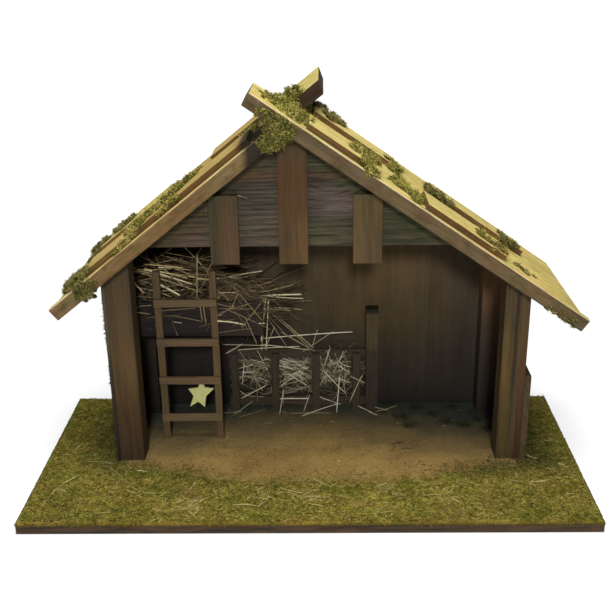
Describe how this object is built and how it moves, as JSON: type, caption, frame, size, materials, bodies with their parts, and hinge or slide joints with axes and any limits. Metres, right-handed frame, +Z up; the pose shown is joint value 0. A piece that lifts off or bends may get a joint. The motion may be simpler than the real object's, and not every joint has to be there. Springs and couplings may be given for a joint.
{
  "type": "wooden nativity stable",
  "caption": "Open-fronted wooden stable with a pitched roof, hayloft, ladder, star and hay rack on a grass-covered base board, for standing crib figures in.",
  "frame": {"origin": "middle of the underside of the base board", "axes": "+X to the right seen from the front, along the wide side; +Y from the open front to the back wall; +Z up"},
  "size_m": [0.6, 0.28, 0.431],
  "materials": {
    "base_wood": "dark stained edge, matt",
    "grass": "short flock fibres, matt",
    "earth": "glued sawdust, matt",
    "brown_wood": "brown stained softwood, matt",
    "dark_wood": "dark stained panel, matt",
    "light_wood": "thinly stained softwood, matt",
    "star_paint": "pale yellow paint, matt",
    "straw": "dry straw, matt",
    "moss": "dried moss, matt"
  },
  "bodies": {
    "root": {"base_board": "base_wood", "grass_mat": "grass", "earth_floor": "earth", "front_left_post": "brown_wood", "front_right_post": "brown_wood", "back_left_post": "brown_wood", "back_right_post": "brown_wood", "back_wall": "dark_wood", "left_wall": "dark_wood", "right_wall": "dark_wood", "right_plinth_board": "brown_wood", "gable_board": "dark_wood", "gable_strip_left": "brown_wood", "gable_strip_centre": "brown_wood", "gable_strip_right": "brown_wood", "roof_board_right_front": "light_wood", "roof_board_right_back": "light_wood", "roof_board_left_front": "light_wood", "roof_board_left_back": "light_wood", "roof_slat_right_front_upper": "light_wood", "roof_slat_right_front_lower": "light_wood", "roof_slat_right_back_upper": "light_wood", "roof_slat_right_back_lower": "light_wood", "roof_slat_left_front": "light_wood", "roof_slat_left_back_upper": "light_wood", "roof_slat_left_back_lower": "light_wood", "loft_floor": "dark_wood", "loft_front_board": "brown_wood", "loft_back_cleat": "dark_wood", "loft_side_cleat": "dark_wood", "ladder_rail_left": "brown_wood", "ladder_rail_right": "brown_wood", "ladder_rung_1": "brown_wood", "ladder_rung_2": "brown_wood", "ladder_rung_3": "brown_wood", "ladder_rung_4": "brown_wood", "star": "star_paint", "rack_top_rail": "brown_wood", "rack_bottom_rail": "brown_wood", "rack_slat_1": "brown_wood", "rack_slat_2": "brown_wood", "rack_slat_3": "brown_wood", "rack_slat_4": "brown_wood", "rack_post": "brown_wood", "loft_straw": "straw", "rack_straw": "straw", "grass_straw": "straw", "ridge_moss": "moss", "right_slope_moss": "moss", "left_slope_moss": "moss", "left_eave_moss": "moss"}
  },
  "joints": []
}
